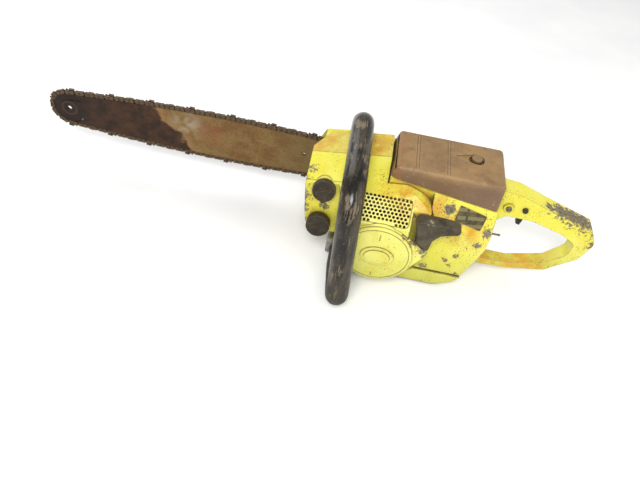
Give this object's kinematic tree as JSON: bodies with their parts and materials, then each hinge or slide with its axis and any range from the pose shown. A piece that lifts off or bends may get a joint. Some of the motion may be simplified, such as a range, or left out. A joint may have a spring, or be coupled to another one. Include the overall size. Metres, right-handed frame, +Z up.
{
  "type": "chainsaw",
  "caption": "Two-stroke chainsaw with a side recoil starter, wrap-around front handle, D-shaped rear handle, roller-nose guide bar and cutting chain.",
  "frame": {"origin": "on the resting plane, under the crankshaft axis and midway across the crankcase", "axes": "+X forward along the guide bar, +Y to the starter side, +Z up"},
  "size_m": [0.8751, 0.2877, 0.223],
  "materials": {
    "yellow_paint": "cast light alloy under worn gloss lemon-yellow paint, chipped to grey metal",
    "brown_plastic": "faded brown moulding",
    "black_plastic": "worn black moulding",
    "black_sleeve": "scuffed black sleeve",
    "bar_steel": "rusty, oil-stained steel",
    "chain_steel": "rusty chain steel",
    "bright_steel": "ground steel",
    "cast_alloy": "as-cast alloy",
    "zinc_screw": "plated fasteners",
    "plate_grey": "blank dark plate",
    "white_felt": "filter element",
    "white_rope": "braided nylon rope",
    "black_rubber": "rubber",
    "exhaust_steel": "heat-stained pressed steel"
  },
  "bodies": {
    "root": {"air_filter": "white_felt", "bar_studs_and_nuts": "zinc_screw", "carburettor": "cast_alloy", "case_screws": "zinc_screw", "chain_cutters": "chain_steel", "chain_drive_links": "chain_steel", "chain_rivets": "bright_steel", "chain_tie_straps": "chain_steel", "clutch_drum": "bright_steel", "connecting_rod": "bright_steel", "crank_and_wrist_pins": "bright_steel", "crankcase": "yellow_paint", "cylinder": "cast_alloy", "cylinder_shroud": "yellow_paint", "fan_housing": "yellow_paint", "front_handle": "black_sleeve", "front_tank": "yellow_paint", "guide_bar": "bar_steel", "handle_clamp": "cast_alloy", "ignition_coil": "black_plastic", "main_bearings": "bright_steel", "muffler": "exhaust_steel", "oil_pump": "cast_alloy", "piston": "cast_alloy", "piston_rings": "bright_steel", "plug_boot": "black_rubber", "rating_plate": "plate_grey", "rear_case": "yellow_paint", "rear_handle": "yellow_paint", "rear_tank": "yellow_paint", "recoil_spring": "bright_steel", "spark_plug": "bright_steel", "sprocket_cover": "yellow_paint", "starter_cover": "yellow_paint", "starter_emblem": "yellow_paint", "stop_switch_body": "zinc_screw", "trigger_pin_and_spring": "bright_steel"},
    "crank": {"crankshaft": "bright_steel", "flywheel": "cast_alloy", "flywheel_nut_and_pawls": "zinc_screw", "clutch_hub": "bright_steel", "clutch_shoes": "cast_alloy"},
    "nose_roller": {"nose_roller": "bar_steel"},
    "pull_grip": {"starter_grip": "black_plastic", "starter_rope": "white_rope"},
    "pulley": {"starter_pulley": "black_plastic", "rope_coil": "white_rope"},
    "fuel_plug": {"fuel_gasket": "black_rubber"},
    "fuel_cap": {"fuel_cap": "black_plastic"},
    "oil_plug": {"oil_gasket": "black_rubber"},
    "oil_cap": {"oil_cap": "black_plastic"},
    "cover": {"filter_cover": "brown_plastic"},
    "cover_knob": {"filter_knob": "brown_plastic"},
    "trigger": {"throttle_trigger": "black_plastic"},
    "rod": {"throttle_rod": "zinc_screw"},
    "butterfly": {"throttle_shaft": "bright_steel"},
    "latch": {"throttle_latch": "black_plastic"},
    "switch_lever": {"stop_switch_lever": "zinc_screw"},
    "choke": {"choke_knob": "black_plastic"},
    "oiler": {"oiler_button": "zinc_screw"}
  },
  "joints": [
    {"name": "crank_spin", "type": "hinge", "parent": "root", "child": "crank", "pos_m": [0, 0, 0.078], "axis": [0, 1, 0], "continuous": true},
    {"name": "nose_roller_spin", "type": "hinge", "parent": "root", "child": "nose_roller", "pos_m": [0.5278, -0.086, 0.089], "axis": [0, 1, 0], "continuous": true},
    {"name": "starter_pull", "type": "slide", "parent": "root", "child": "pull_grip", "axis": [-0.1701, 0, 0.9854], "range_m": [0, 0.8], "stiffness_N_per_m": 12, "springref_m": -0.25, "deforming": ["starter_rope"]},
    {"name": "pulley_turn", "type": "hinge", "parent": "root", "child": "pulley", "pos_m": [0, 0.08, 0.078], "axis": [0, 1, 0], "range_deg": [-5, 1333.6]},
    {"name": "fuel_plug_lift", "type": "slide", "parent": "root", "child": "fuel_plug", "axis": [0, 0.9781, 0.2079], "range_m": [0, 0.03]},
    {"name": "fuel_cap_turn", "type": "hinge", "parent": "fuel_plug", "child": "fuel_cap", "pos_m": [0.09, 0.0495, 0.141], "axis": [0, -0.9781, -0.2079], "range_deg": [-2705, 5]},
    {"name": "oil_plug_lift", "type": "slide", "parent": "root", "child": "oil_plug", "axis": [0, 0.9781, 0.2079], "range_m": [0, 0.03]},
    {"name": "oil_cap_turn", "type": "hinge", "parent": "oil_plug", "child": "oil_cap", "pos_m": [0.09, 0.055, 0.081], "axis": [0, -0.9781, -0.2079], "range_deg": [-2705, 5]},
    {"name": "filter_cover_lift", "type": "slide", "parent": "root", "child": "cover", "axis": [0, 0, 1], "range_m": [0, 0.06]},
    {"name": "cover_knob_turn", "type": "hinge", "parent": "cover", "child": "cover_knob", "pos_m": [-0.114, -0.018, 0.19], "axis": [0, 0, 1], "continuous": true},
    {"name": "trigger_pull", "type": "hinge", "parent": "root", "child": "trigger", "pos_m": [-0.182, 0, 0.136], "axis": [0, 1, 0], "range_deg": [0, 14], "stiffness_Nm_per_rad": 0.6, "springref_deg": -17.19},
    {"name": "throttle_rod_slide", "type": "slide", "parent": "root", "child": "rod", "axis": [1, 0, 0], "range_m": [-0.0005, 0.004]},
    {"name": "butterfly_turn", "type": "hinge", "parent": "root", "child": "butterfly", "pos_m": [-0.01354, 0, 0.15542], "axis": [0, 1, 0], "range_deg": [-60, 2]},
    {"name": "latch_push", "type": "slide", "parent": "root", "child": "latch", "axis": [0, -1, 0], "range_m": [0, 0.0035], "stiffness_N_per_m": 300, "springref_m": -0.004},
    {"name": "stop_switch_flip", "type": "hinge", "parent": "root", "child": "switch_lever", "pos_m": [-0.157, 0.03, 0.104], "axis": [0, 1, 0], "range_deg": [-10, 10]},
    {"name": "choke_pull", "type": "slide", "parent": "root", "child": "choke", "axis": [-1, 0, 0], "range_m": [0, 0.012]},
    {"name": "oiler_push", "type": "slide", "parent": "root", "child": "oiler", "axis": [1, 0, 0], "range_m": [0, 0.008], "stiffness_N_per_m": 400, "springref_m": -0.004}
  ],
  "couplings": [
    {"joint": "pulley_turn", "follows": "starter_pull", "rad_per_m": 28.985},
    {"joint": "fuel_cap_turn", "follows": "fuel_plug_lift", "rad_per_m": -1570.8},
    {"joint": "oil_cap_turn", "follows": "oil_plug_lift", "rad_per_m": -1570.8},
    {"joint": "throttle_rod_slide", "follows": "trigger_pull", "m_per_rad": 0.0105},
    {"joint": "butterfly_turn", "follows": "trigger_pull", "ratio": -2.9}
  ]
}
